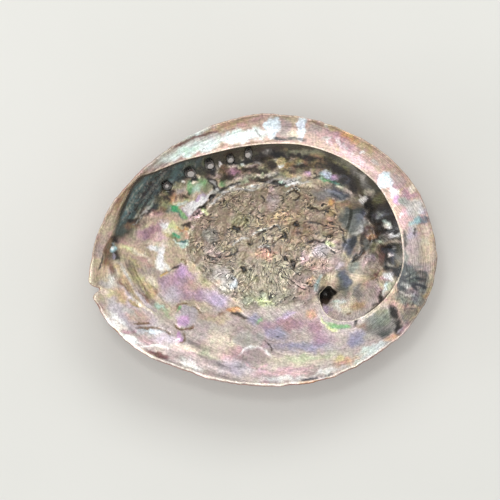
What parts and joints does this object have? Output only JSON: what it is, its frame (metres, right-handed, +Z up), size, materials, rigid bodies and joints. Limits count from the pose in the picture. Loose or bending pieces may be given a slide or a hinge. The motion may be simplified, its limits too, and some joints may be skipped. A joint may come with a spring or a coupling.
{
  "type": "abalone shell",
  "caption": "Abalone shell lying on its domed back: pearly hollow, broad shelf coiling into the spire, rough muscle scar, breathing holes in a row, ridged crust outside.",
  "frame": {"origin": "centre of the bounding box, on the ground that the worn crown of the dome rests on", "axes": "+X along the shell's length, towards the spire's end; +Y towards the broad shelf; +Z up, out of the hollow"},
  "size_m": [0.1906, 0.1498, 0.0526],
  "materials": {
    "mother_of_pearl": "satin"
  },
  "bodies": {
    "root": {"shell": "mother_of_pearl"}
  },
  "joints": []
}
